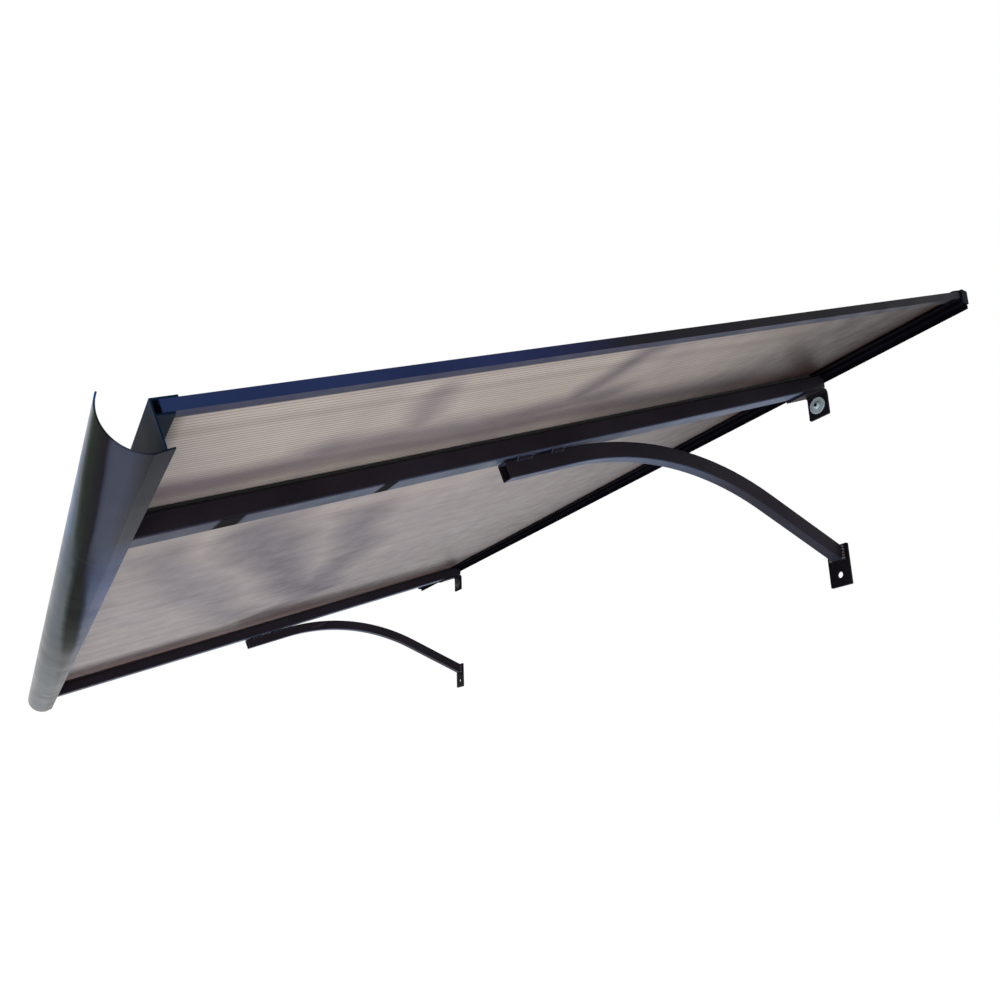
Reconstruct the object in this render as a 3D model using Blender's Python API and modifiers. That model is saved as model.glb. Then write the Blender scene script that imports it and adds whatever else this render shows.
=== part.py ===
"""Wall-hung door canopy: a sloping twin-wall sheet on two tube rafters, with a wall rail, a folded
fascia, an open half-round gutter and an arched tube arm under each rafter.

The wall is the plane Y = 0, the canopy reaches out along -Y, Z is up and X runs along the wall.
The roof has its own frame, turned by the slope: there -Y runs down the roof and Z stands square
to it, with Z = 0 on top of the rafters. All sizes are in metres.
"""

import math

import bmesh
import bpy
from mathutils import Matrix, Vector

CLEARANCE = 0.0003
OVERCUT = 0.010

WIDTH = 1.900
SLOPE = math.radians(21.0)
ROOF_RUN = 1.225

RAFTER_INSET = 0.2705
RAFTER_WIDTH = 0.035
RAFTER_DEPTH = 0.025
RAFTER_WALL = 0.002
RAFTER_CORNER = 0.0025

POCKET_WALL = 0.0015
TRIM_HEIGHT = 0.011
TRIM_REACH = 0.013
TRIM_WALL = 0.002
TRIM_SETBACK = 0.0056

SHEET_THICKNESS = 0.006
SHEET_SKIN = 0.0006
SHEET_WEB = 0.0006
RIB_PITCH = 0.006
SHEET_EDGE_PLAY = 0.0004

RAIL_DEPTH = 0.0135
RAIL_TOP = 0.011
RAIL_BOTTOM = -0.010
RAIL_WALL = 0.002
RAIL_SKIRT = 0.007
RAIL_UPPER_LIP = 0.022
RAIL_LOWER_LIP = 0.0225
CAP_THICKNESS = 0.002
CAP_PLUG = 0.010

FASCIA_WALL = 0.0015
FASCIA_TOP_FLANGE = 0.0208
FASCIA_SHELF = 0.0148

GUTTER_RADIUS = 0.0342
GUTTER_WALL = 0.0015
GUTTER_AXIS_AHEAD = 0.0065
GUTTER_AXIS_HEIGHT = 0.0065
GUTTER_START = math.radians(-83.5)
GUTTER_LIP = math.radians(32.4)
GUTTER_FLANGE_INSET = 0.0062
GUTTER_SEGMENTS = 28

ARM_WIDTH = 0.020
ARM_HEIGHT = 0.025
ARM_WALL = 0.002
ARM_CORNER = 0.002
ARM_FRONT = 0.731
ARM_STRAIGHT = 0.115
ARM_RADIUS = 0.528
ARM_FALL = math.radians(22.4)
ARM_SEGMENTS = 20

WELD_GAP = 0.0015
WELD_SPREAD = 0.006
WELD_DROP = 0.005
WELD_BITE = 0.0008
WELDS = ((0.018, 0.045), (0.079, 0.102))

PLATE_WIDTH = 0.040
PLATE_HEIGHT = 0.072
PLATE_THICKNESS = 0.004
PLATE_HOLE = 0.011
PLATE_HOLE_RISE = 0.020
PLATE_CORNER = 0.0015
PLATE_RISE = 0.002

LUG_WIDTH = 0.040
LUG_THICKNESS = 0.004
LUG_DROP = 0.077
LUG_REACH = 0.075
LUG_BEND = 0.003
LUG_HOLE = 0.009
LUG_HOLE_DROP = 0.0545
LUG_CORNER = 0.002

WASHER_DIAMETER = 0.030
WASHER_HOLE = 0.0086
WASHER_THICKNESS = 0.002
WASHER_EDGE = 0.0004
SCREW_SHANK = 0.008
SCREW_HEAD = 0.013
SCREW_HEAD_HEIGHT = 0.0045
SCREW_SOCKET = 0.006
SCREW_SOCKET_DEPTH = 0.0028
ROUND_STEPS = 32

SIN = math.sin(SLOPE)
COS = math.cos(SLOPE)
HALF_WIDTH = WIDTH / 2
RAFTER_OFFSET = HALF_WIDTH - RAFTER_INSET
SIDES = {"left": -1, "right": 1}

POCKET_FLOOR = CLEARANCE + POCKET_WALL
TRIM_BOTTOM = POCKET_FLOOR + CLEARANCE
TRIM_TOP = TRIM_BOTTOM + TRIM_HEIGHT
POCKET_ROOF = TRIM_TOP + CLEARANCE
SHEET_BOTTOM = TRIM_BOTTOM + (TRIM_HEIGHT - SHEET_THICKNESS) / 2
SHEET_TOP = SHEET_BOTTOM + SHEET_THICKNESS
TRIM_FRONT = ROOF_RUN - TRIM_SETBACK
RAFTER_FACE = -RAFTER_DEPTH - CLEARANCE
ARM_TOP = RAFTER_FACE - WELD_GAP


def empty_scene():
    """Remove whatever the file opened with."""
    for item in list(bpy.data.objects):
        bpy.data.objects.remove(item, do_unlink=True)


def new_collection(name):
    collection = bpy.data.collections.new(name)
    bpy.context.scene.collection.children.link(collection)
    return collection


def new_material(name, colour, roughness, metallic, alpha=1.0):
    material = bpy.data.materials.new(name)
    material.use_nodes = True
    shader = material.node_tree.nodes["Principled BSDF"]
    shader.inputs["Base Color"].default_value = (*colour, 1.0)
    shader.inputs["Roughness"].default_value = roughness
    shader.inputs["Metallic"].default_value = metallic
    shader.inputs["Alpha"].default_value = alpha
    return material


def roof_point(run, height):
    """World (Y, Z) of a point that is run down the slope and height above the rafters."""
    return Vector((-run * COS - height * SIN, -run * SIN + height * COS))


def run_at(depth, height):
    """How far down the slope the roof plane at this height is depth away from the wall."""
    return (depth - height * SIN) / COS


def arc(centre, radius, start, end, segments):
    """Points on an arc, both ends included, as (x, y) pairs."""
    points = []
    for step in range(segments + 1):
        angle = start + (end - start) * step / segments
        points.append((centre[0] + radius * math.cos(angle), centre[1] + radius * math.sin(angle)))
    return points


def rounded_rectangle(low, high, radius, segments=3):
    """Outline of a rectangle with four round corners, anticlockwise."""
    corners = [
        ((high[0] - radius, high[1] - radius), 0.0),
        ((low[0] + radius, high[1] - radius), 0.5 * math.pi),
        ((low[0] + radius, low[1] + radius), math.pi),
        ((high[0] - radius, low[1] + radius), 1.5 * math.pi),
    ]
    points = []
    for centre, start in corners:
        points += arc(centre, radius, start, start + 0.5 * math.pi, segments)
    return points


def rectangle(low, high):
    return [(low[0], low[1]), (high[0], low[1]), (high[0], high[1]), (low[0], high[1])]


def flat_curve(name, outlines):
    """Filled flat curve of closed outlines, the first one solid and the rest holes."""
    curve = bpy.data.curves.new(name, "CURVE")
    curve.dimensions = "2D"
    curve.fill_mode = "BOTH"
    for outline in outlines:
        spline = curve.splines.new("POLY")
        spline.points.add(len(outline) - 1)
        for point, spot in zip(spline.points, outline):
            point.co = (spot[0], spot[1], 0.0, 1.0)
        spline.use_cyclic_u = True
    drawn = bpy.data.objects.new(name, curve)
    bpy.context.scene.collection.objects.link(drawn)
    return drawn


def meshed(name, drawn, collection):
    """Turn a drawn curve into a welded mesh object and remove the curve."""
    bpy.context.view_layer.update()
    graph = bpy.context.evaluated_depsgraph_get()
    mesh = bpy.data.meshes.new_from_object(drawn.evaluated_get(graph))
    bpy.data.objects.remove(drawn, do_unlink=True)
    solid = bmesh.new()
    solid.from_mesh(mesh)
    bmesh.ops.remove_doubles(solid, verts=solid.verts, dist=0.00002)
    bmesh.ops.recalc_face_normals(solid, faces=solid.faces)
    solid.to_mesh(mesh)
    solid.free()
    mesh.name = name
    made = bpy.data.objects.new(name, mesh)
    collection.objects.link(made)
    return made


def extruded(name, outlines, length, collection):
    """Mesh object of flat outlines drawn out along Z, centred on the outlines' plane."""
    drawn = flat_curve(name + "_outline", outlines)
    drawn.data.extrude = length / 2
    return meshed(name, drawn, collection)


def swept(name, path, section, collection):
    """Mesh object of a closed section carried along a path of points in the (Y, Z) plane."""
    profile = flat_curve(name + "_section", (section,))
    curve = bpy.data.curves.new(name + "_path", "CURVE")
    curve.dimensions = "3D"
    curve.twist_mode = "Z_UP"
    curve.bevel_mode = "OBJECT"
    curve.bevel_object = profile
    curve.use_fill_caps = True
    spline = curve.splines.new("POLY")
    spline.points.add(len(path) - 1)
    for point, spot in zip(spline.points, path):
        point.co = (0.0, spot[0], spot[1], 1.0)
    drawn = bpy.data.objects.new(name + "_path", curve)
    bpy.context.scene.collection.objects.link(drawn)
    made = meshed(name, drawn, collection)
    bpy.data.objects.remove(profile, do_unlink=True)
    return made


def place(item, frame, parent=None):
    """Put an object down by a frame matrix, under a parent if there is one."""
    item.parent = parent
    item.matrix_local = frame
    return item


def along_wall(centre=0.0):
    """Frame of a section drawn in (Y, Z) and drawn out along X."""
    turn = Matrix(((0, 0, 1), (1, 0, 0), (0, 1, 0))).to_4x4()
    return Matrix.Translation((centre, 0, 0)) @ turn


def down_roof(start, end):
    """Roof frame of a section drawn in (X, height) and drawn out down the slope."""
    turn = Matrix(((1, 0, 0), (0, 0, -1), (0, 1, 0))).to_4x4()
    return Matrix.Translation((0, -(start + end) / 2, 0)) @ turn


def finish(item, material, smooth=None):
    """Give an object its material and, for a round piece, smooth shading."""
    item.data.materials.clear()
    item.data.materials.append(material)
    if smooth is not None:
        item.data.shade_smooth()
        item.data.set_sharp_from_angle(angle=smooth)
    return item


def combine(item, other, operation):
    """Add a Boolean modifier and put its operand out of sight."""
    modifier = item.modifiers.new(operation.lower(), "BOOLEAN")
    modifier.operation = operation
    modifier.solver = "EXACT"
    modifier.object = other
    other.hide_render = True
    other.display_type = "WIRE"
    return item


def block(name, low, high, collection):
    """Box between two corners."""
    mesh = bpy.data.meshes.new(name)
    solid = bmesh.new()
    bmesh.ops.create_cube(solid, size=1.0)
    size = Vector(high) - Vector(low)
    middle = (Vector(high) + Vector(low)) / 2
    bmesh.ops.scale(solid, vec=size, verts=solid.verts)
    bmesh.ops.translate(solid, vec=middle, verts=solid.verts)
    solid.to_mesh(mesh)
    solid.free()
    made = bpy.data.objects.new(name, mesh)
    collection.objects.link(made)
    return made


def rod(name, radius, low, high, collection, sides=ROUND_STEPS):
    """Cylinder or prism along Z between two heights."""
    mesh = bpy.data.meshes.new(name)
    solid = bmesh.new()
    bmesh.ops.create_cone(
        solid, cap_ends=True, segments=sides, radius1=radius, radius2=radius, depth=high - low
    )
    bmesh.ops.translate(solid, vec=(0, 0, (high + low) / 2), verts=solid.verts)
    solid.to_mesh(mesh)
    solid.free()
    made = bpy.data.objects.new(name, mesh)
    collection.objects.link(made)
    return made


def turned(name, profile, closed, collection):
    """Revolve a profile of (radius, height) pairs, listed down its outer side."""
    mesh = bpy.data.meshes.new(name)
    points = [(radius, 0.0, height) for radius, height in profile]
    edges = [(index, index + 1) for index in range(len(points) - 1)]
    if closed:
        edges.append((len(points) - 1, 0))
    mesh.from_pydata(points, edges, [])
    made = bpy.data.objects.new(name, mesh)
    collection.objects.link(made)
    screw = made.modifiers.new("turn", "SCREW")
    screw.steps = ROUND_STEPS
    screw.render_steps = ROUND_STEPS
    screw.use_merge_vertices = True
    screw.merge_threshold = 0.00001
    screw.use_normal_calculate = False
    return made


def facing_out(offset, depth, height):
    """Frame whose Z axis points away from the wall."""
    return Matrix.Translation((offset, -depth, height)) @ Matrix.Rotation(math.pi / 2, 4, "X")


def rail_section():
    """Outline of the wall rail: a box on the wall, a skirt below it and a sloping pocket."""
    low = CLEARANCE
    floor_end = run_at(RAIL_DEPTH, low) + RAIL_LOWER_LIP
    roof_end = run_at(RAIL_DEPTH, POCKET_ROOF) + RAIL_UPPER_LIP
    high = POCKET_ROOF + POCKET_WALL
    outline = [
        Vector((0.0, RAIL_BOTTOM - RAIL_SKIRT)),
        Vector((0.0, RAIL_TOP)),
        Vector((-RAIL_DEPTH, RAIL_TOP)),
        roof_point(run_at(RAIL_DEPTH, high), high),
        roof_point(roof_end, high),
        roof_point(roof_end, POCKET_ROOF),
        roof_point(run_at(RAIL_DEPTH, POCKET_ROOF), POCKET_ROOF),
        roof_point(run_at(RAIL_DEPTH, POCKET_FLOOR), POCKET_FLOOR),
        roof_point(floor_end, POCKET_FLOOR),
        roof_point(floor_end, low),
        roof_point(run_at(RAIL_DEPTH, low), low),
        Vector((-RAIL_DEPTH, RAIL_BOTTOM)),
        Vector((-RAIL_WALL, RAIL_BOTTOM)),
        Vector((-RAIL_WALL, RAIL_BOTTOM - RAIL_SKIRT)),
    ]
    hollow = rectangle(
        (-RAIL_DEPTH + RAIL_WALL, RAIL_BOTTOM + RAIL_WALL), (-RAIL_WALL, RAIL_TOP - RAIL_WALL)
    )
    return outline, hollow


def make_wall_rail(parts, material):
    rail = extruded("wall_rail", rail_section(), WIDTH, parts)
    return finish(place(rail, along_wall()), material)


def make_rail_cap(parts, side, material):
    """End cap of the rail's box, with a plug that fills the box's end."""
    direction = SIDES[side]
    inner = CLEARANCE + RAIL_WALL
    face = block(
        "rail_cap_" + side,
        (0.0, -RAIL_DEPTH, RAIL_BOTTOM),
        (CAP_THICKNESS, 0.0, RAIL_TOP),
        parts,
    )
    plug = block(
        "cap_plug_" + side,
        (-CAP_PLUG, -RAIL_DEPTH + inner, RAIL_BOTTOM + inner),
        (CAP_THICKNESS / 2, -inner, RAIL_TOP - inner),
        bpy.data.collections["cutters"],
    )
    turn = Matrix.Rotation(0.0 if direction > 0 else math.pi, 4, "Z")
    shift = Matrix.Translation((direction * (HALF_WIDTH + CLEARANCE), 0, 0))
    back = Matrix.Translation((0, 0.0 if direction > 0 else -RAIL_DEPTH, 0))
    place(face, shift @ back @ turn)
    place(plug, shift @ back @ turn)
    combine(face, plug, "UNION")
    return finish(face, material)


def make_rafter(parts, cutters, roof, side, material):
    """Rectangular tube under the sheet, cut plumb at the wall and notched for the rail's box."""
    offset = SIDES[side] * RAFTER_OFFSET
    half = RAFTER_WIDTH / 2
    outer = rounded_rectangle((offset - half, -RAFTER_DEPTH), (offset + half, 0.0), RAFTER_CORNER)
    inner = rounded_rectangle(
        (offset - half + RAFTER_WALL, -RAFTER_DEPTH + RAFTER_WALL),
        (offset + half - RAFTER_WALL, -RAFTER_WALL),
        RAFTER_CORNER / 2,
    )
    end = ROOF_RUN - CLEARANCE
    tube = extruded("rafter_" + side, (outer, inner), end, parts)
    place(tube, down_roof(0.0, end), roof)
    half = RAFTER_WIDTH
    beyond = 2 * RAIL_DEPTH
    plumb = block(
        "plumb_cut_" + side,
        (offset - half, -RAIL_WALL - CLEARANCE, -4 * RAFTER_DEPTH),
        (offset + half, beyond, 4 * RAFTER_DEPTH),
        cutters,
    )
    notch = block(
        "rail_notch_" + side,
        (offset - half, -RAIL_DEPTH - CLEARANCE, RAIL_BOTTOM - CLEARANCE),
        (offset + half, beyond, 4 * RAFTER_DEPTH),
        cutters,
    )
    combine(tube, plumb, "DIFFERENCE")
    return finish(combine(tube, notch, "DIFFERENCE"), material, math.radians(50))


def make_gasket(parts, roof, side, material):
    """Strip that the sheet lies on, between the rail's lower lip and the fascia's shelf."""
    offset = SIDES[side] * RAFTER_OFFSET
    half = RAFTER_WIDTH / 2 - RAFTER_CORNER
    start = run_at(RAIL_DEPTH, CLEARANCE) + RAIL_LOWER_LIP + CLEARANCE
    end = ROOF_RUN - FASCIA_SHELF - CLEARANCE
    section = rectangle((offset - half, CLEARANCE), (offset + half, SHEET_BOTTOM - CLEARANCE))
    strip = extruded("sheet_gasket_" + side, (section,), end - start, parts)
    return finish(place(strip, down_roof(start, end), roof), material)


def make_sheet(parts, roof, material):
    """Twin-wall sheet: two skins joined by webs, open at both ends of its channels."""
    half = HALF_WIDTH - TRIM_WALL - SHEET_EDGE_PLAY
    outline = rectangle((-half, SHEET_BOTTOM), (half, SHEET_TOP))
    channels = int((2 * half - SHEET_WEB) / RIB_PITCH)
    first = -channels * RIB_PITCH / 2
    hollows = []
    for index in range(channels):
        low = first + index * RIB_PITCH + SHEET_WEB / 2
        high = low + RIB_PITCH - SHEET_WEB
        hollows.append(rectangle((low, SHEET_BOTTOM + SHEET_SKIN), (high, SHEET_TOP - SHEET_SKIN)))
    start = run_at(RAIL_DEPTH + CLEARANCE, TRIM_BOTTOM)
    sheet = extruded("roof_sheet", [outline] + hollows, TRIM_FRONT - start, parts)
    return finish(place(sheet, down_roof(start, TRIM_FRONT), roof), material)


def make_side_trim(parts, roof, side, material):
    """Channel over the side edge of the sheet, with its open side towards the sheet."""
    direction = SIDES[side]
    edge = direction * HALF_WIDTH
    mouth = direction * (HALF_WIDTH - TRIM_REACH)
    web = direction * (HALF_WIDTH - TRIM_WALL)
    section = [
        (edge, TRIM_BOTTOM),
        (edge, TRIM_TOP),
        (mouth, TRIM_TOP),
        (mouth, TRIM_TOP - TRIM_WALL),
        (web, TRIM_TOP - TRIM_WALL),
        (web, TRIM_BOTTOM + TRIM_WALL),
        (mouth, TRIM_BOTTOM + TRIM_WALL),
        (mouth, TRIM_BOTTOM),
    ]
    start = run_at(RAIL_DEPTH + CLEARANCE, TRIM_BOTTOM)
    trim = extruded("side_trim_" + side, (section,), TRIM_FRONT - start, parts)
    return finish(place(trim, down_roof(start, TRIM_FRONT), roof), material)


def gutter_flange_height(run):
    """Height of the gutter flange's upper face at this distance down the slope."""
    tip = (ROOF_RUN - GUTTER_FLANGE_INSET, -RAFTER_DEPTH - CLEARANCE)
    crease = gutter_inner_arc()[0]
    share = (run - tip[0]) / (crease[0] - tip[0])
    return tip[1] + share * (crease[1] - tip[1])


def gutter_axis():
    return ROOF_RUN + GUTTER_AXIS_AHEAD, GUTTER_AXIS_HEIGHT


def gutter_inner_arc():
    return arc(gutter_axis(), GUTTER_RADIUS, GUTTER_START, GUTTER_LIP, GUTTER_SEGMENTS)


def in_world(points):
    return [roof_point(run, height) for run, height in points]


def make_fascia(parts, material):
    """Folded front: a web, a flange over the sheet and a shelf under it, one closed outline."""
    front = ROOF_RUN + FASCIA_WALL
    flange_end = ROOF_RUN - FASCIA_TOP_FLANGE
    shelf_end = ROOF_RUN - FASCIA_SHELF
    foot = gutter_flange_height(ROOF_RUN) + CLEARANCE
    section = [
        (front, foot),
        (front, POCKET_ROOF + POCKET_WALL),
        (flange_end, POCKET_ROOF + POCKET_WALL),
        (flange_end, POCKET_ROOF),
        (ROOF_RUN, POCKET_ROOF),
        (ROOF_RUN, POCKET_FLOOR),
        (shelf_end, POCKET_FLOOR),
        (shelf_end, CLEARANCE),
        (ROOF_RUN, CLEARANCE),
        (ROOF_RUN, foot),
    ]
    fascia = extruded("front_fascia", (in_world(section),), WIDTH, parts)
    return finish(place(fascia, along_wall()), material)


def make_gutter(parts, material):
    """Open trough: an arc from the creased rear flange to the front lip."""
    inner = gutter_inner_arc()
    outer = arc(
        gutter_axis(), GUTTER_RADIUS + GUTTER_WALL, GUTTER_LIP, GUTTER_START, GUTTER_SEGMENTS
    )
    tip = (ROOF_RUN - GUTTER_FLANGE_INSET, -RAFTER_DEPTH - CLEARANCE)
    section = inner + outer + [(tip[0], tip[1] - GUTTER_WALL), tip]
    gutter = extruded("gutter", (in_world(section),), WIDTH, parts)
    return finish(place(gutter, along_wall()), material, math.radians(20))


def arm_line():
    """World (Y, Z) points of the arm's centre line, from its front end to the wall plate."""
    height = ARM_TOP - ARM_HEIGHT / 2
    bend = roof_point(ARM_FRONT - ARM_STRAIGHT, height)
    centre = bend + ARM_RADIUS * Vector((SIN, -COS))
    points = [roof_point(ARM_FRONT, height)]
    for step in range(ARM_SEGMENTS + 1):
        heading = SLOPE - (SLOPE + ARM_FALL) * step / ARM_SEGMENTS
        points.append(centre + ARM_RADIUS * Vector((-math.sin(heading), math.cos(heading))))
    reach = -PLATE_THICKNESS - CLEARANCE - points[-1].x
    points.append(points[-1] + Vector((reach, -reach * math.tan(ARM_FALL))))
    return points


def arm_end_height(offset):
    """World height, on the wall plate's face, of the arm's face at this distance off its middle."""
    return arm_line()[-1].y + offset / math.cos(ARM_FALL)


def arm_bar(name, inset, corner, ahead, behind, collection):
    """Solid bar that follows the arm, thinner by inset all round and longer at both ends."""
    path = arm_line()
    path[0] = path[0] + ahead * Vector((-COS, -SIN))
    path[-1] = path[-1] + behind * Vector((1.0, -math.tan(ARM_FALL)))
    half = (ARM_WIDTH / 2 - inset, ARM_HEIGHT / 2 - inset)
    section = rounded_rectangle((-half[0], -half[1]), half, corner, 2)
    return swept(name, path, section, collection)


def make_arm(parts, cutters, side, material):
    """Arched tube, open at its front end, with two welds up to the rafter."""
    offset = SIDES[side] * RAFTER_OFFSET
    shift = Matrix.Translation((offset, 0, 0))
    arm = arm_bar("arm_" + side, 0.0, ARM_CORNER, 0.0, OVERCUT, parts)
    place(arm, shift)
    for number, (start, end) in enumerate(WELDS):
        wide = ARM_WIDTH / 2 + WELD_SPREAD
        narrow = ARM_WIDTH / 2 - WELD_BITE
        low = ARM_TOP - WELD_DROP
        section = [
            (offset - narrow, low),
            (offset + narrow, low),
            (offset + wide, RAFTER_FACE),
            (offset - wide, RAFTER_FACE),
        ]
        weld = extruded(f"weld_{side}_{number}", (section,), end - start, cutters)
        place(weld, down_roof(ARM_FRONT - end, ARM_FRONT - start), bpy.data.objects["roof_frame"])
        combine(arm, weld, "UNION")
    bore = arm_bar("arm_bore_" + side, ARM_WALL, ARM_CORNER / 2, OVERCUT, 2 * OVERCUT, cutters)
    place(bore, shift)
    combine(arm, bore, "DIFFERENCE")
    wall_face = -PLATE_THICKNESS - CLEARANCE
    middle = arm_line()[-1].y
    behind = block(
        "plate_face_" + side,
        (offset - ARM_WIDTH, wall_face, middle - PLATE_HEIGHT),
        (offset + ARM_WIDTH, wall_face + 4 * OVERCUT, middle + PLATE_HEIGHT),
        cutters,
    )
    combine(arm, behind, "DIFFERENCE")
    return finish(arm, material, math.radians(25))


def wall_hole(name, diameter, offset, height, depth, cutters):
    """Cutter for a hole along Y."""
    cutter = rod(name, diameter / 2, -OVERCUT, depth + OVERCUT, cutters)
    place(cutter, facing_out(offset, 0.0, height))
    return cutter


def make_wall_plate(parts, cutters, side, material):
    """Flat plate on the wall behind the arm's end, with one hole below the tube."""
    offset = SIDES[side] * RAFTER_OFFSET
    top = arm_end_height(ARM_HEIGHT / 2) + PLATE_RISE
    half = PLATE_WIDTH / 2
    outline = rounded_rectangle((-half, top - PLATE_HEIGHT), (half, top), PLATE_CORNER)
    plate = extruded("wall_plate_" + side, (outline,), PLATE_THICKNESS, parts)
    place(plate, facing_out(offset, PLATE_THICKNESS / 2, 0.0))
    height = top - PLATE_HEIGHT + PLATE_HOLE_RISE
    hole = wall_hole("plate_hole_" + side, PLATE_HOLE, offset, height, PLATE_THICKNESS, cutters)
    return finish(combine(plate, hole, "DIFFERENCE"), material, math.radians(30))


def lug_section():
    """Outline of the bent bar: a leg under the rafter and a leg down the wall."""
    top = RAFTER_FACE
    middle = top - LUG_THICKNESS - LUG_BEND
    depth = LUG_THICKNESS + LUG_BEND
    centre = roof_point(run_at(depth, middle), middle)
    square = 0.5 * math.pi + SLOPE
    inner = arc(centre, LUG_BEND, square, 0.0, 8)
    outer = arc(centre, depth, 0.0, square, 8)
    leg_low = roof_point(LUG_REACH, top - LUG_THICKNESS)
    leg_high = roof_point(LUG_REACH, top)
    foot = [(-LUG_THICKNESS, -LUG_DROP), (0.0, -LUG_DROP)]
    return [leg_low] + inner + foot + outer + [leg_high]


def make_lug(parts, cutters, side, material):
    offset = SIDES[side] * RAFTER_OFFSET
    lug = extruded("wall_lug_" + side, (lug_section(),), LUG_WIDTH, parts)
    place(lug, along_wall(offset))
    hole = wall_hole("lug_hole_" + side, LUG_HOLE, offset, -LUG_HOLE_DROP, LUG_THICKNESS, cutters)
    combine(lug, hole, "DIFFERENCE")
    round_foot(lug, side, offset, cutters)
    return finish(lug, material, math.radians(30))


def round_foot(lug, side, offset, cutters):
    """Cut the two lower corners of the lug to a small radius."""
    half = LUG_WIDTH / 2
    for hand in (-1, 1):
        corner = (hand * half, -LUG_DROP)
        centre = (hand * (half - LUG_CORNER), -LUG_DROP + LUG_CORNER)
        start = 1.5 * math.pi
        sweep = hand * 0.5 * math.pi
        outside = (corner[0] + hand * OVERCUT, corner[1] - OVERCUT)
        outline = arc(centre, LUG_CORNER, start, start + sweep, 6)
        outline += [(outside[0], centre[1]), outside, (centre[0], outside[1])]
        cutter = extruded(f"lug_corner_{side}_{hand + 1}", (outline,), 4 * LUG_THICKNESS, cutters)
        place(cutter, facing_out(offset, 0.0, 0.0))
        combine(lug, cutter, "DIFFERENCE")


def make_washer(parts, side, material):
    """Wide flat washer with a broken outer edge, on the lug's face."""
    outer = WASHER_DIAMETER / 2
    inner = WASHER_HOLE / 2
    profile = [
        (inner, WASHER_THICKNESS),
        (outer - WASHER_EDGE, WASHER_THICKNESS),
        (outer, WASHER_THICKNESS - WASHER_EDGE),
        (outer, 0.0),
        (inner, 0.0),
    ]
    washer = turned("lug_washer_" + side, profile, True, parts)
    depth = LUG_THICKNESS + CLEARANCE
    place(washer, facing_out(SIDES[side] * RAFTER_OFFSET, depth, -LUG_HOLE_DROP))
    return finish(washer, material, math.radians(35))


def make_screw(parts, cutters, side, material):
    """Fixing screw: a domed head with a hexagon socket, its shank cut off at the wall plane."""
    seat = LUG_THICKNESS + WASHER_THICKNESS + 2 * CLEARANCE
    head = SCREW_HEAD / 2
    shank = SCREW_SHANK / 2
    rim = SCREW_HEAD_HEIGHT * 0.35
    profile = [(0.0, seat + SCREW_HEAD_HEIGHT)]
    for step in range(1, 6):
        angle = 0.5 * math.pi * step / 5
        rise = (SCREW_HEAD_HEIGHT - rim) * math.cos(angle)
        profile.append((head * math.sin(angle), seat + rim + rise))
    profile += [(head, seat), (shank, seat), (shank, 0.0), (0.0, 0.0)]
    screw = turned("lug_screw_" + side, profile, False, parts)
    offset = SIDES[side] * RAFTER_OFFSET
    frame = facing_out(offset, 0.0, -LUG_HOLE_DROP)
    place(screw, frame)
    low = seat + SCREW_HEAD_HEIGHT - SCREW_SOCKET_DEPTH
    socket = rod("screw_socket_" + side, SCREW_SOCKET / 2, low, low + OVERCUT, cutters, sides=6)
    place(socket, frame)
    return finish(combine(screw, socket, "DIFFERENCE"), material, math.radians(35))


def build():
    empty_scene()
    parts = new_collection("door_canopy")
    cutters = new_collection("cutters")
    roof = bpy.data.objects.new("roof_frame", None)
    roof.rotation_euler = (SLOPE, 0.0, 0.0)
    parts.objects.link(roof)
    painted = new_material("painted_tube", (0.020, 0.016, 0.020), 0.38, 0.0)
    rail_paint = new_material("rail_paint", (0.008, 0.008, 0.010), 0.45, 0.0)
    trim_paint = new_material("trim_paint", (0.024, 0.034, 0.075), 0.35, 0.0)
    front_paint = new_material("front_paint", (0.030, 0.045, 0.055), 0.30, 0.0)
    gutter_paint = new_material("gutter_paint", (0.050, 0.055, 0.075), 0.12, 0.0)
    plastic = new_material("clear_bronze_sheet", (0.420, 0.370, 0.340), 0.30, 0.0, 0.85)
    rubber = new_material("black_gasket", (0.012, 0.012, 0.013), 0.80, 0.0)
    cap_plastic = new_material("cap_plastic", (0.030, 0.035, 0.045), 0.50, 0.0)
    zinc = new_material("zinc_plate", (0.420, 0.500, 0.520), 0.35, 1.0)
    make_wall_rail(parts, rail_paint)
    make_sheet(parts, roof, plastic)
    make_fascia(parts, front_paint)
    make_gutter(parts, gutter_paint)
    for side in SIDES:
        make_rail_cap(parts, side, cap_plastic)
        make_rafter(parts, cutters, roof, side, painted)
        make_gasket(parts, roof, side, rubber)
        make_side_trim(parts, roof, side, trim_paint)
        make_arm(parts, cutters, side, painted)
        make_wall_plate(parts, cutters, side, painted)
        make_lug(parts, cutters, side, painted)
        make_washer(parts, side, zinc)
        make_screw(parts, cutters, side, zinc)


build()
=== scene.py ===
"""Looks for the wall-hung door canopy: materials, weld beads, light, floor and camera."""

import math

import bmesh
import bpy
from mathutils import Matrix, Vector


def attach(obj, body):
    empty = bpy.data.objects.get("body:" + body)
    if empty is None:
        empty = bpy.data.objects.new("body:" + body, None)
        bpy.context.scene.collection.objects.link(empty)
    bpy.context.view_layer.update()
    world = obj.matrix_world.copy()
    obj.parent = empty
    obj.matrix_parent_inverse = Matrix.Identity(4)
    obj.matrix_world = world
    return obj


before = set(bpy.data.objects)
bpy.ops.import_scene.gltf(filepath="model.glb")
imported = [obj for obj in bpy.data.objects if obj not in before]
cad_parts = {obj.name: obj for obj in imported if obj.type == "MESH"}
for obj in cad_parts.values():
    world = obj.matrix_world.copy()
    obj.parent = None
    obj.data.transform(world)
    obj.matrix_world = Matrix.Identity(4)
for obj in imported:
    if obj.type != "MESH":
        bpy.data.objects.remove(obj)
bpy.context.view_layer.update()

SLOPE = math.radians(21.0)
SIN = math.sin(SLOPE)
COS = math.cos(SLOPE)

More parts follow.
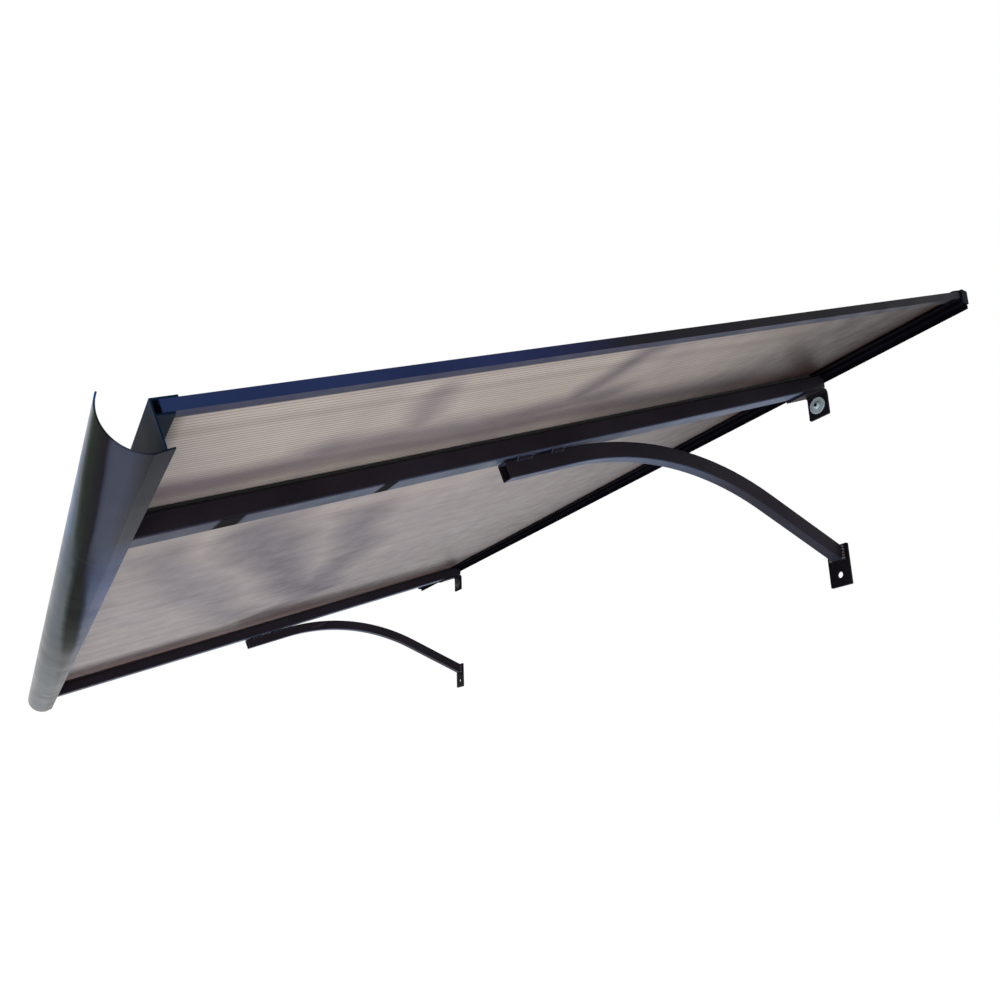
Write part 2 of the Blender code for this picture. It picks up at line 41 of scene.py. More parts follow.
# Places on the solids, in metres.
RAFTER_OFFSET = 0.6795  # from the middle to each rafter's middle
RAFTER_FACE = -0.0253  # the rafters' undersides, square to the slope
ARM_FRONT = 0.731  # the arms' front ends, down the slope
ARM_HALF_WIDTH = 0.010
ARM_END = (-0.3441, -0.3171)  # lowest and highest point of the arms' feet
WELDS = ((0.018, 0.045), (0.079, 0.102))  # fillets, measured back from the arm's front
PLATE_FACE = -0.0043
LUG_HOLE_DROP = 0.0545
RIB_PITCH = 0.006
GUTTER_AXIS = (-1.1520, -0.4353)  # Y and Z

# Where the looks change. A pair is the value where a change starts and the one where it is full.
NOISE_CORE = (0.3, 0.7)  # the part of a noise's range that it mostly stays in
FACING_DOWN = (-0.85, -0.35)  # height of the surface's normal
SHEEN_ALONG = (-0.50, -1.12)  # Y of the painted underside reflection
SHEEN_HEIGHT = (-0.15, -0.05)  # height of the painted underside reflection, square to the slope
TRIM_LENGTH = (-1.15, 0.0)  # Y
TRIM_UNDERSIDE = (-0.30, -0.08)  # Y of the painted underside light on the trims
COOL_SIDE = (0.30, 0.72)  # X
BAND_EDGE = (-0.435, -0.525)  # X of the painted brown shadow band at the far rafter
BAND_END = (-0.69, -0.84)  # X
BAND_LIFT = (-0.57, -0.66)  # X
BAND_WIDER = 0.075  # how much farther the band reaches at its widest
BAND_WIDENS = (0.50, 0.68)  # run
BAND_NARROWS = (0.76, 0.86)  # run
WALL_SHADE_DEPTH = (-0.64, -0.14)  # Y of the painted shade towards the wall
WALL_SHADE_SIDE = (0.25, 0.75)  # X of the painted shade towards the wall
CORNER_DEPTH = (-0.34, -0.06)  # Y of the painted shade in the corner at the wall
CORNER_SIDE = (0.30, 0.85)  # X of the painted shade in the corner at the wall
FRONT_EDGE = (-1.137, -1.118)  # Y
GUTTER_SLANT = (-0.42, 0.94)  # X
GUTTER_FAR_PART = (0.46, 0.76)  # X
GUTTER_FADE = (-0.10, 0.80)  # X
GUTTER_FILM = (-0.02, 0.36)  # X
SOCKET_EDGE = (0.0030, 0.0036)  # edge of the painted socket shade, as distance from the screw's middle
FAR_LUG = (-0.1, 0.1)  # X
GLOW_SHARE = 0.28  # of the light that the sheet lets through

# Weld beads.
BEAD_RADIUS = 0.0030
FOOT_BEAD_RADIUS = 0.0041
BEAD_ASIDE = 0.0026  # from the arm's side to the middle of a bead on a fillet
BEAD_BELOW = 0.0033  # under the rafter's face
BEAD_INSET = 0.002  # shorter than the fillet at each end
FOOT_BEAD_ASIDE = 0.0014
FOOT_BEAD_AHEAD = 0.0006
FOOT_BEAD_INSET = 0.001
LOW_BEAD_BELOW = 0.0005
LUMP_SPACING = 1.25  # in bead radii
LUMP_LENGTH = 0.72  # in bead radii
LUMP_LEAN = math.radians(24)

# Marks by their (X, run) places: start, end and width, with a depth for the sheet's.
# Painted dark gaps in the painted underside reflection under the near rafter.
SHEEN_GAP_STROKES = (
    ((0.660, 1.104), (0.700, 1.100), 0.018),
    ((0.660, 0.903), (0.700, 0.900), 0.012),
)
# Painted branch shadows on the sheet, each with a depth.
SHEET_SHADOWS = (
    ((0.490, 1.000), (0.215, 0.905), 0.105, 0.72),
    ((0.215, 0.905), (-0.300, 0.650), 0.115, 0.80),
    ((0.430, 0.830), (0.100, 0.690), 0.090, 0.60),
    ((0.100, 0.690), (-0.300, 0.640), 0.095, 0.66),
    ((-0.300, 0.640), (-0.430, 0.740), 0.100, 0.55),
    ((0.450, 1.140), (-0.390, 0.855), 0.095, 0.46),
    ((0.735, 1.200), (0.745, 0.300), 0.062, 0.56),
    ((0.760, 1.000), (0.780, 0.640), 0.070, 0.62),
    ((0.902, 0.936), (0.795, 0.895), 0.042, 0.46),
    ((0.925, 0.640), (0.795, 0.700), 0.044, 0.66),
)

# Painted reflections on the gutter: tones round its axis, as (share of a turn, colour), near the
# camera and at the far end.
GUTTER_NEAR = (
    (0.00, "12161b"),
    (0.44, "1c2c38"),
    (0.522, "123c68"),
    (0.548, "12283a"),
    (0.585, "1c221c"),
    (0.640, "161718"),
    (0.668, "141319"),
    (0.684, "2c2f3b"),
    (0.75, "2b2f3d"),
    (0.785, "23252d"),
    (0.82, "12141b"),
    (0.86, "12151d"),
)
GUTTER_FAR = (
    (0.00, "12161b"),
    (0.50, "182a38"),
    (0.560, "1a2e3c"),
    (0.600, "1a2628"),
    (0.635, "141513"),
    (0.685, "151616"),
    (0.722, "1e2c48"),
    (0.80, "2a3c64"),
    (0.90, "2a3658"),
)
# Roughness that a dull film adds, as (share of a turn, amount).
FILM_NEAR = ((0.565, 0.0), (0.60, 0.55), (0.672, 0.55), (0.70, 0.20), (0.80, 0.10))
FILM_FAR = ((0.595, 0.0), (0.632, 0.50), (0.688, 0.50), (0.722, 0.12), (0.84, 0.02))
# Tones from the trims' front ends to the wall: a painted sky reflection, bluer and lighter at the
# front.
TRIM_TONES = ((0.0, "1c2a4c"), (0.32, "1b2143"), (0.42, "131118"), (0.64, "0d0b12"), (1.0, "0c0b14"))
FASCIA_TONES = ((0.00, "07121f"), (0.30, "0b2238"), (0.60, "0f2a42"), (0.90, "081726"))

# Studio: floor, camera and lamps. Each lamp has its place, aim, size, watts and tone.
FLOOR_HEIGHT = -1.70
FLOOR_SIZE = 40.0
FLOOR_GLOW = 0.62
WORLD_STRENGTH = 0.55
CAMERA_PLACE = (1.55073, -1.21774, -0.72083)
CAMERA_YAW = 1.07126
CAMERA_PITCH = 0.22869
CAMERA_ROLL = 0.02225
CAMERA_LENS = 29.487
CAMERA_SHIFT = (0.0409, 0.1063)
LAMPS = {
    "key": ((2.6, -3.2, 1.8), (0.0, -0.6, -0.2), (2.6, 2.6), 70.0, (1.0, 0.97, 0.93)),
    "under": ((0.9, -2.2, -1.5), (0.0, -0.6, -0.2), (2.4, 1.6), 26.0, (1.0, 0.98, 0.96)),
    "top": ((-0.6, -1.0, 2.6), (0.0, -0.6, 0.0), (3.0, 2.4), 60.0, (0.95, 0.97, 1.0)),
}


def roof_point(offset, run, height):
    """World point that is run down the slope and height above the rafters' tops."""
    return Vector((offset, -run * COS - height * SIN, -run * SIN + height * COS))


def colour(text):
    """Linear colour of a hex sRGB one."""
    values = [int(text[index:index + 2], 16) / 255 for index in (0, 2, 4)]
    linear = [v / 12.92 if v <= 0.04045 else ((v + 0.055) / 1.055) ** 2.4 for v in values]
    return (*linear, 1.0)


class Shader:
    """Small helper that builds one material's node tree."""

    def __init__(self, name):
        self.material = bpy.data.materials.new(name)
        self.material.use_nodes = True
        self.tree = self.material.node_tree
        self.bsdf = self.tree.nodes["Principled BSDF"]
        self.output = self.tree.nodes["Material Output"]
        self.place = self.tree.nodes.new("ShaderNodeTexCoord").outputs["Object"]

    def node(self, kind, links=(), **values):
        made = self.tree.nodes.new(kind)
        for key, value in values.items():
            setattr(made, key, value)
        for key, source in links:
            self.link(source, made.inputs[key])
        return made

    def link(self, source, target):
        if isinstance(source, bpy.types.NodeSocket):
            self.tree.links.new(source, target)
        else:
            target.default_value = source

    def math(self, operation, first, second=0.0):
        return self.node("ShaderNodeMath", ((0, first), (1, second)), operation=operation).outputs[0]

    def times(self, first, second):
        return self.math("MULTIPLY", first, second)

    def stretched(self, scale, turn=0.0):
        """Coordinates turned about X, then scaled on each axis."""
        turned = self.node("ShaderNodeMapping", ((0, self.place), ("Rotation", (turn, 0.0, 0.0))))
        links = ((0, turned.outputs[0]), ("Scale", scale))
        return self.node("ShaderNodeMapping", links).outputs[0]

    def noise(self, scale, detail=3.0, roughness=0.55, vector=None, distortion=0.0):
        vector = self.place if vector is None else vector
        links = (
            ("Vector", vector),
            ("Scale", scale),
            ("Detail", detail),
            ("Roughness", roughness),
            ("Distortion", distortion),
        )
        return self.node("ShaderNodeTexNoise", links).outputs[0]

    def ramp(self, value, stops):
        made = self.node("ShaderNodeValToRGB", ((0, value),))
        elements = made.color_ramp.elements
        while len(elements) < len(stops):
            elements.new(0.5)
        for element, (place, tone) in zip(elements, stops):
            element.position = place
            element.color = tone if len(tone) == 4 else (*tone, 1.0)
        return made.outputs[0]

    def length(self, first, second):
        squares = self.math("ADD", self.times(first, first), self.times(second, second))
        return self.math("SQRT", squares)

    def tones(self, value, stops):
        """Ramp of hex colours."""
        return self.ramp(value, [(place, colour(tone)) for place, tone in stops])

    def greys(self, value, stops):
        """Ramp of grey levels."""
        return self.ramp(value, [(place, (level, level, level)) for place, level in stops])

    def grey(self, value):
        """Colour with the same value in each channel."""
        return self.node("ShaderNodeCombineColor", ((0, value), (1, value), (2, value))).outputs[0]

    def spread(self, value, low, high, start, end):
        """Map a value from one range to another."""
        links = ((0, value), (1, start), (2, end), (3, low), (4, high))
        return self.node("ShaderNodeMapRange", links).outputs[0]

    def mix(self, share, first, second, blend="MIX"):
        made = self.node("ShaderNodeMix", data_type="RGBA", blend_type=blend)
        self.link(share, made.inputs[0])
        self.link(first, made.inputs[6])
        self.link(second, made.inputs[7])
        return made.outputs[2]

    def bump(self, height, strength, distance):
        links = (("Height", height), ("Strength", strength), ("Distance", distance))
        self.link(self.node("ShaderNodeBump", links).outputs[0], self.bsdf.inputs["Normal"])

    def axis(self, index):
        return self.node("ShaderNodeSeparateXYZ", ((0, self.place),)).outputs[index]

    def run(self):
        """Distance down the slope from the wall."""
        return self.math("DIVIDE", self.axis(1), -COS)

    def below(self):
        """1 where the surface looks down, 0 where it looks sideways or up."""
        geometry = self.node("ShaderNodeNewGeometry")
        height = self.node("ShaderNodeSeparateXYZ", ((0, geometry.outputs["Normal"]),)).outputs[2]
        return self.spread(height, 1.0, 0.0, *FACING_DOWN)

    def bent(self):
        """(X, run) on the roof, bent unevenly so that marks placed by it have soft natural edges."""
        bend_x = self.spread(self.noise(3.5, 2.0, 0.5), -0.022, 0.022, *NOISE_CORE)
        bend_run = self.spread(self.noise(2.9, 2.0, 0.5), -0.040, 0.040, *NOISE_CORE)
        across = self.math("ADD", self.axis(0), bend_x)
        return across, self.math("ADD", self.run(), bend_run)

    def stroke(self, spot, start, end, width):
        """Soft line between two (X, run) points, 1 in its middle and 0 at its width."""
        line = Vector(end) - Vector(start)
        across = self.math("SUBTRACT", spot[0], start[0])
        along = self.math("SUBTRACT", spot[1], start[1])
        dot = self.math("ADD", self.times(across, line.x), self.times(along, line.y))
        share = self.math("DIVIDE", dot, line.length_squared)
        share = self.node("ShaderNodeClamp", ((0, share),)).outputs[0]
        off_x = self.math("SUBTRACT", across, self.times(share, line.x))
        off_y = self.math("SUBTRACT", along, self.times(share, line.y))
        shade = self.spread(self.length(off_x, off_y), 1.0, 0.0, 0.0, width)
        shade.node.interpolation_type = "SMOOTHSTEP"
        return shade

    def set(self, **values):
        for key, value in values.items():
            self.link(value, self.bsdf.inputs[key.replace("_", " ")])


def sheen_gaps(s):
    """1 on the painted dark gaps in the painted underside reflection under the near rafter."""
    marks = 0.0
    for start, end, width in SHEEN_GAP_STROKES:
        mark = s.stroke((s.axis(0), s.run()), start, end, width)
        marks = s.math("MAXIMUM", marks, s.spread(mark, 0.0, 1.0, 0.0, 0.25))
    return s.times(marks, s.below())


def underside_sheen_share(s, marks):
    """How much painted reflection an underside gets: less towards the front and low on the arms, none
    on the painted dark gaps.
    """
    share = s.times(s.below(), s.spread(s.axis(1), 1.0, 0.25, *SHEEN_ALONG))
    height = s.math("SUBTRACT", s.times(s.axis(2), COS), s.times(s.axis(1), SIN))
    share = s.times(share, s.spread(height, 0.12, 1.0, *SHEEN_HEIGHT))
    return s.times(share, s.math("SUBTRACT", 1.0, marks))


def powder_coat(name, tones, gloss, specular, underside=None):
    """Sprayed paint: fine orange peel, cloudy gloss, dust specks and a few pale scuffs."""
    s = Shader(name)
    clouds = s.noise(7.0, 4.0)
    base = s.tones(clouds, ((0.30, tones[0]), (0.72, tones[1])))
    # Painted reflection of light from below: a bluer tone on the undersides.
    if underside:
        underside_sheen = s.tones(s.noise(11.0, 4.0), ((0.35, underside[0]), (0.70, underside[1])))
        marks = sheen_gaps(s)
        base = s.mix(underside_sheen_share(s, marks), base, underside_sheen)
    scuffs = s.noise(1.0, 5.0, 0.7, s.stretched((55.0, 9.0, 9.0), -SLOPE), 1.5)
    worn = s.greys(scuffs, ((0.66, 0), (0.80, 0.30)))
    specks = s.greys(s.noise(520.0, 2.0), ((0.70, 0), (0.80, 0.22)))
    dirt_and_sheen = s.mix(specks, base, colour("6d6a6c"))
    dirt_and_sheen = s.mix(worn, dirt_and_sheen, colour("5b5d66"))
    rough = s.spread(s.noise(18.0, 4.0), gloss[0], gloss[1], *NOISE_CORE)
    # Painted dark gaps in the underside reflection, also rougher.
    if underside:
        dirt_and_sheen = s.mix(marks, dirt_and_sheen, colour("08070a"))
        rough = s.math("ADD", rough, s.times(marks, 0.45))
    s.set(Base_Color=dirt_and_sheen, Roughness=rough, Specular_IOR_Level=specular)
    s.bump(s.noise(950.0, 2.0), 0.16, 0.0003)
    return s.material


def trim_paint():
    """Blue-black coat on the side channels, with a painted sky reflection that makes it bluer towards
    the front.
    """
    s = Shader("trim_look")
    along = s.spread(s.axis(1), 0.0, 1.0, *TRIM_LENGTH)
    base = s.tones(along, TRIM_TONES)
    clouds = s.ramp(s.noise(9.0, 4.0), ((0.3, (0.82, 0.82, 0.84)), (0.75, (1.12, 1.12, 1.10))))
    base = s.mix(1.0, base, clouds, "MULTIPLY")
    # Painted light: a paler blue tone on the undersides away from the wall.
    pale = s.times(s.below(), s.spread(s.axis(1), 1.0, 0.0, *TRIM_UNDERSIDE))
    base = s.mix(pale, base, colour("20223a"))
    scratch = s.noise(1.0, 6.0, 0.75, s.stretched((300.0, 14.0, 300.0), -SLOPE), 0.8)
    worn = s.greys(scratch, ((0.68, 0), (0.82, 0.35)))
    rough = s.spread(s.noise(22.0, 4.0), 0.34, 0.48, *NOISE_CORE)
    s.set(Base_Color=s.mix(worn, base, colour("6a6f80")), Roughness=rough, Specular_IOR_Level=0.06)
    s.bump(s.noise(900.0, 2.0), 0.12, 0.0003)
    return s.material


def ribbed(s):
    """The sheet's colour by its channels, and its ribs' height."""
    cell = s.math("DIVIDE", s.axis(0), RIB_PITCH)
    number = s.math("FLOOR", cell)
    centred = s.math("ABSOLUTE", s.math("SUBTRACT", s.math("FRACT", cell), 0.5))
    web = s.greys(centred, ((0.34, 0), (0.43, 1)))
    links = (("W", number),)
    chance = s.node("ShaderNodeTexWhiteNoise", links, noise_dimensions="1D").outputs["Value"]
    groups = s.noise(1.0, 2.0, 0.5, s.stretched((26.0, 0.45, 0.45), -SLOPE))
    base = s.tones(groups, ((0.30, "9d9189"), (0.52, "aba097"), (0.74, "b5aaa1")))
    tint = s.spread(chance, 0.93, 1.05, 0.0, 1.0)
    base = s.mix(1.0, base, s.grey(tint), "MULTIPLY")
    base = s.mix(s.times(web, 0.62), base, colour("5f5250"))
    return base, s.math("SUBTRACT", 1.0, s.times(centred, 2.0))


def clouded(s, base, spot):
    """Soft painted shade in clouds, a cooler near side and the painted branch-like shadows at their
    named places.
    """
    # Painted soft shade in clouds.
    clouding = s.noise(2.3, 2.0, 0.45, s.stretched((1.0, 1.5, 1.5), -SLOPE), 1.6)
    shade = s.greys(clouding, ((0.40, 0.22), (0.56, 0)))
    base = s.mix(shade, base, colour("77707c"))
    base = s.mix(s.spread(s.axis(0), 0.34, 0.0, *COOL_SIDE), base, colour("7f7785"))
    # Painted branch shadows.
    stains_and_shadows = 0.0
    for start, end, width, depth in SHEET_SHADOWS:
        mark = s.times(s.stroke(spot, start, end, width), depth)
        stains_and_shadows = s.math("MAXIMUM", stains_and_shadows, mark)
    return s.mix(stains_and_shadows, base, colour("433a4a"))


def rafter_and_wall_shade(s, base, spot):
    """Painted brown shadow band at the far rafter, painted shade towards the wall and in the corner
    at the wall, and a dark front edge.
    """
    uneven = s.spread(s.noise(5.0, 4.0), 0.80, 1.10, *NOISE_CORE)
    # Painted shadow band of the far rafter, lighter right by the rafter.
    widens = s.spread(spot[1], 0.0, BAND_WIDER, *BAND_WIDENS)
    wider = s.times(widens, s.spread(spot[1], 1.0, 0.0, *BAND_NARROWS))
    past = s.math("SUBTRACT", spot[0], wider)
    near_rafter = s.times(s.spread(past, 0.0, 0.88, *BAND_EDGE), uneven)
    near_rafter = s.times(near_rafter, s.spread(s.axis(0), 1.0, 0.10, *BAND_END))
    lift = s.spread(s.axis(0), 0.0, 1.0, *BAND_LIFT)
    base = s.mix(near_rafter, base, s.mix(lift, colour("3a2725"), colour("8a736f")))
    # Painted shade towards the wall.
    near_wall = s.times(s.spread(s.axis(1), 0.0, 0.94, *WALL_SHADE_DEPTH), uneven)
    wall_shade = s.times(near_wall, s.spread(s.axis(0), 0.38, 1.0, *WALL_SHADE_SIDE))
    base = s.mix(wall_shade, base, colour("2a201e"))
    # Painted shade in the corner at the wall.
    at_wall = s.spread(s.axis(1), 0.0, 1.0, *CORNER_DEPTH)
    corner = s.times(at_wall, s.spread(s.axis(0), 0.25, 1.0, *CORNER_SIDE))
    base = s.mix(s.times(corner, 0.85), base, colour("28120f"))
    return s.mix(s.spread(s.axis(1), 1.0, 0.0, *FRONT_EDGE), base, colour("1a1614"))


def sheet_look():
    """Bronze twin-wall plastic: ribs down the slope, uneven channels, soft painted shade in clouds,
    painted branch shadows and painted shade towards the wall.
    """
    s = Shader("sheet_look")
    base, ribs = ribbed(s)
    spot = s.bent()
    base = rafter_and_wall_shade(s, clouded(s, base, spot), spot)
    rough = s.spread(s.noise(30.0, 3.0), 0.30, 0.45, *NOISE_CORE)
    s.set(Base_Color=base, Roughness=rough, Specular_IOR_Level=0.12)
    s.bump(s.math("ADD", ribs, s.times(s.noise(300.0, 2.0), 0.25)), 0.22, 0.0005)
    glow = s.node("ShaderNodeBsdfTranslucent", (("Color", base),))
    links = ((0, GLOW_SHARE), (1, s.bsdf.outputs[0]), (2, glow.outputs[0]))
    both = s.node("ShaderNodeMixShader", links)
    s.link(both.outputs[0], s.output.inputs["Surface"])
    return s.material


def sheet_metal(name, stops, gloss, specular, extra=None):
    """Dark glossy sheet: its tone drifts round the gutter's axis and slants along its length; on the
    gutter these tones are painted reflections.

    The extra holds the near film, the far end's tones and the far film.
    """
    s = Shader(name)
    back = s.math("SUBTRACT", s.axis(1), GUTTER_AXIS[0])
    rise = s.math("SUBTRACT", s.axis(2), GUTTER_AXIS[1])
    angle = s.math("ARCTAN2", rise, back)
    turn = s.math("FRACT", s.math("ADD", s.math("DIVIDE", angle, 2 * math.pi), 1.0))
    slant = s.spread(s.axis(0), 0.17, -0.02, *GUTTER_SLANT)
    drift = s.noise(1.0, 3.0, 0.5, s.stretched((2.2, 14.0, 14.0)), 0.8)
    turn = s.math("ADD", s.math("SUBTRACT", turn, slant), s.spread(drift, -0.016, 0.016, *NOISE_CORE))
    # Tones round the axis: painted reflections on the gutter.
    base = s.tones(turn, stops)
    if extra:
        film_near, far_stops, film_far = extra
        ragged = s.math("ADD", s.axis(0), s.spread(s.noise(9.0, 3.0), -0.06, 0.06, *NOISE_CORE))
        farther = s.spread(ragged, 1.0, 0.0, *GUTTER_FAR_PART)
        base = s.mix(farther, base, s.tones(turn, far_stops))
    fade = s.spread(s.axis(0), 0.55, 1.0, *GUTTER_FADE)
    base = s.mix(1.0, base, s.grey(fade), "MULTIPLY")
    runs = s.noise(1.0, 5.0, 0.7, s.stretched((60.0, 9.0, 9.0)), 0.6)
    stains_and_shadows = s.greys(runs, ((0.60, 0), (0.80, 0.16)))
    s.set(Base_Color=s.mix(stains_and_shadows, base, colour("4a5054")))
    rough = s.spread(s.noise(14.0, 4.0), gloss[0], gloss[1], *NOISE_CORE)
    if extra:
        film = s.greys(turn, film_near)
        far_film = s.greys(turn, film_far)
        far_film = s.times(far_film, s.spread(s.axis(0), 0.10, 1.0, *GUTTER_FILM))
        film = s.mix(farther, film, far_film)
        rough = s.math("ADD", rough, film)
    s.set(Roughness=rough, Specular_IOR_Level=specular)
    s.bump(s.noise(26.0, 2.0), 0.08, 0.002)
    return s.material


def zinc():
    """Zinc plate: spangle, dull bloom and a painted dark shade in the screw's socket, darker all over
    on the far lug.
    """
    s = Shader("zinc_look")
    spangle = s.node("ShaderNodeTexVoronoi", (("Vector", s.place), ("Scale", 420.0)))
    tone = s.tones(spangle.outputs[0], ((0.0, "8fa1a8"), (0.6, "abbbc0")))
    bloom = s.greys(s.noise(160.0, 4.0), ((0.45, 0), (0.75, 0.55)))
    across = s.math("SUBTRACT", s.math("ABSOLUTE", s.axis(0)), RAFTER_OFFSET)
    down = s.math("ADD", s.axis(2), LUG_HOLE_DROP)
    # Painted shade: a dark dot in the screw's socket.
    socket_shade = s.spread(s.length(across, down), 1.0, 0.0, *SOCKET_EDGE)
    coat = s.mix(bloom, tone, colour("84969a"))
    # Darker all over on the far lug.
    coat = s.mix(s.spread(s.axis(0), 0.90, 0.0, *FAR_LUG), coat, colour("1c1b20"))
    s.set(Base_Color=s.mix(socket_shade, coat, colour("24262a")))
    s.set(Metallic=0.35, Roughness=s.spread(s.noise(240.0, 3.0), 0.50, 0.70, *NOISE_CORE))
    s.bump(s.noise(1200.0, 2.0), 0.20, 0.0002)
    return s.material


def moulded(name, tones, gloss, specular):
    """Dark moulded plastic or rubber with a fine matt texture."""
    s = Shader(name)
    clouds = s.noise(60.0, 3.0)
    s.set(Base_Color=s.tones(clouds, ((0.3, tones[0]), (0.7, tones[1]))))
    rough = s.spread(s.noise(200.0, 3.0), gloss[0], gloss[1], *NOISE_CORE)
    s.set(Roughness=rough, Specular_IOR_Level=specular)
    s.bump(s.noise(1500.0, 2.0), 0.25, 0.0002)
    return s.material


def dress():
    """Give every CAD node its look."""
    # The tube's last pair of tones is its painted underside reflection.
    tube = powder_coat("tube_look", ("19151b", "231f27"), (0.34, 0.50), 0.05, ("384258", "48546b"))
    bracket = powder_coat("bracket_look", ("0f0c12", "1a171d"), (0.40, 0.56), 0.03)
    bead = powder_coat("bead_look", ("17151a", "242228"), (0.40, 0.60), 0.08)
    ripple = powder_coat("ripple_look", ("1d1b21", "3e3c46"), (0.26, 0.40), 0.45)
    rail = powder_coat("rail_look", ("050509", "0c0b11"), (0.55, 0.70), 0.006)
    gutter = sheet_metal(
        "gutter_look", GUTTER_NEAR, (0.12, 0.22), 0.010, (FILM_NEAR, GUTTER_FAR, FILM_FAR)
    )
    front = sheet_metal("front_look", FASCIA_TONES, (0.24, 0.36), 0.006)
    looks = {
        "wall_rail": rail,
        "rail_cap": moulded("cap_look", ("080c11", "10151d"), (0.55, 0.70), 0.04),
        "roof_sheet": sheet_look(),
        "side_trim": trim_paint(),
        "front_fascia": front,
        "gutter": gutter,
        "rafter": tube,
        "sheet_gasket": moulded("gasket_look", ("0c0c0d", "161617"), (0.70, 0.90), 0.35),
        "arm": tube,
        "wall_plate": bracket,
        "wall_lug": bracket,
        "lug_washer": zinc(),
        "lug_screw": zinc(),
    }
    for name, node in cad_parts.items():
        kind = name.removesuffix("_left").removesuffix("_right")
        node.data.materials.clear()
        node.data.materials.append(looks[kind])
    return bead, ripple


def weld(name, start, end, radius, material):
    """Bead of overlapping lumps along a seam between two points."""
    line = end - start
    count = max(3, round(line.length / (radius * LUMP_SPACING)))
    solid = bmesh.new()
    turn = line.to_track_quat("Z", "Y").to_matrix().to_4x4()
    for step in range(count):
        middle = start + line * ((step + 0.5) / count)
        wobble = 1.0 + 0.14 * math.sin(2.3 * step + 1.1)
        lean = Matrix.Rotation(LUMP_LEAN, 4, "X")
        size = Matrix.Diagonal((radius * wobble, radius * wobble, radius * LUMP_LENGTH, 1.0))
        bmesh.ops.create_uvsphere(
            solid, u_segments=16, v_segments=10, radius=1.0,
            matrix=Matrix.Translation(middle) @ turn @ lean @ size,
        )
    mesh = bpy.data.meshes.new(name)
    solid.to_mesh(mesh)
    solid.free()
    mesh.shade_smooth()
    mesh.materials.append(material)
    made = bpy.data.objects.new(name, mesh)
    bpy.context.scene.collection.objects.link(made)
    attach(made, "root")


def add_welds(smooth, ripple):
    """Beads between each arm and its rafter, and round each arm's foot on its plate."""
    height = RAFTER_FACE - BEAD_BELOW
    face = PLATE_FACE - FOOT_BEAD_AHEAD
    low, high = ARM_END
    for side, sign in (("left", -1), ("right", 1)):
        middle = sign * RAFTER_OFFSET
        for number, (start, end) in enumerate(WELDS):
            for hand in (-1, 1):
                offset = middle + hand * (ARM_HALF_WIDTH + BEAD_ASIDE)
                front = roof_point(offset, ARM_FRONT - start - BEAD_INSET, height)
                back = roof_point(offset, ARM_FRONT - end + BEAD_INSET, height)
                weld(f"rafter_weld_{side}_{number}_{hand + 1}", front, back, BEAD_RADIUS, smooth)
        for hand in (-1, 1):
            offset = middle + hand * (ARM_HALF_WIDTH + FOOT_BEAD_ASIDE)
            bottom = Vector((offset, face, low + FOOT_BEAD_INSET))
            top = Vector((offset, face, high - FOOT_BEAD_INSET))
            weld(f"plate_weld_{side}_{hand + 1}", bottom, top, FOOT_BEAD_RADIUS, ripple)
        first = Vector((middle - ARM_HALF_WIDTH, face, low - LOW_BEAD_BELOW))
        last = Vector((middle + ARM_HALF_WIDTH, face, low - LOW_BEAD_BELOW))
        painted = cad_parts["wall_plate_" + side].active_material
        weld(f"plate_weld_{side}_low", first, last, BEAD_RADIUS, painted)


def area_light(name, spot, aim, size, energy, tone):
    data = bpy.data.lights.new(name, "AREA")
    data.shape = "RECTANGLE"
    data.size = size[0]
    data.size_y = size[1]
    data.energy = energy
    data.color = tone
    lamp = bpy.data.objects.new(name, data)
    bpy.context.scene.collection.objects.link(lamp)
    lamp.location = spot
    lamp.rotation_euler = (Vector(aim) - Vector(spot)).to_track_quat("-Z", "Y").to_euler()


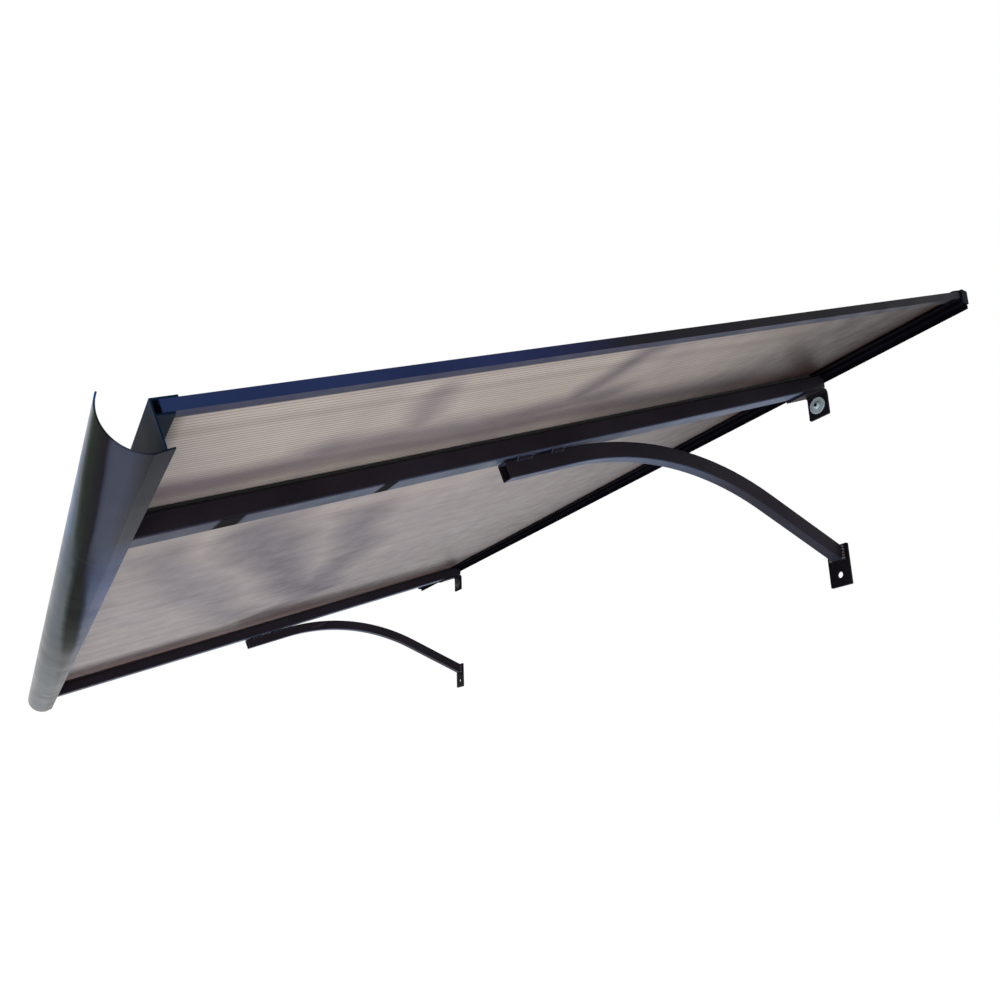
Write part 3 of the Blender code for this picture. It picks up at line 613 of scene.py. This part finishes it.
def add_world():
    """White to the camera and in reflections, a softer grey for the light on the object."""
    world = bpy.data.worlds.new("studio")
    world.use_nodes = True
    bpy.context.scene.world = world
    tree = world.node_tree
    soft = tree.nodes["Background"]
    soft.inputs["Color"].default_value = (0.90, 0.94, 1.0, 1.0)
    soft.inputs["Strength"].default_value = WORLD_STRENGTH
    white = tree.nodes.new("ShaderNodeBackground")
    white.inputs["Color"].default_value = (1.0, 1.0, 1.0, 1.0)
    path = tree.nodes.new("ShaderNodeLightPath")
    share = path.outputs["Is Camera Ray"]
    for kind in ("Is Glossy Ray", "Is Transmission Ray"):
        either = tree.nodes.new("ShaderNodeMath")
        either.operation = "MAXIMUM"
        tree.links.new(share, either.inputs[0])
        tree.links.new(path.outputs[kind], either.inputs[1])
        share = either.outputs[0]
    choice = tree.nodes.new("ShaderNodeMixShader")
    for index, source in enumerate((share, soft.outputs[0], white.outputs[0])):
        tree.links.new(source, choice.inputs[index])
    tree.links.new(choice.outputs[0], tree.nodes["World Output"].inputs["Surface"])


def add_floor():
    """Pale floor well below the canopy, bright enough to stay white away from the shadow."""
    bpy.ops.mesh.primitive_plane_add(size=FLOOR_SIZE, location=(0.0, 0.0, FLOOR_HEIGHT))
    floor = bpy.context.object
    floor.name = "floor"
    s = Shader("floor_look")
    grain = s.greys(s.noise(4.0, 3.0), ((0.3, 0.90), (0.7, 0.94)))
    s.set(Base_Color=grain, Roughness=0.8, Specular_IOR_Level=0.1)
    s.set(Emission_Color=(1.0, 1.0, 1.0, 1.0), Emission_Strength=FLOOR_GLOW)
    floor.data.materials.append(s.material)


def add_camera():
    """Camera fitted to the photograph, below the canopy and looking up along the gutter."""
    data = bpy.data.cameras.new("camera")
    data.sensor_width = 36.0
    data.lens = CAMERA_LENS
    data.shift_x, data.shift_y = CAMERA_SHIFT
    data.clip_start = 0.02
    camera = bpy.data.objects.new("camera", data)
    bpy.context.scene.collection.objects.link(camera)
    yaw = Matrix.Rotation(CAMERA_YAW, 3, "Z")
    pitch = Matrix.Rotation(CAMERA_PITCH, 3, "X")
    roll = Matrix.Rotation(CAMERA_ROLL, 3, "Y")
    right, forward, up = (yaw @ pitch @ roll).col
    turn = Matrix((right, up, -forward)).transposed().to_4x4()
    turn.translation = Vector(CAMERA_PLACE)
    camera.matrix_world = turn
    bpy.context.scene.camera = camera


add_welds(*dress())
add_world()
add_floor()
for name, lamp in LAMPS.items():
    area_light(name, *lamp)
bpy.context.scene.view_settings.view_transform = "Standard"
add_camera()
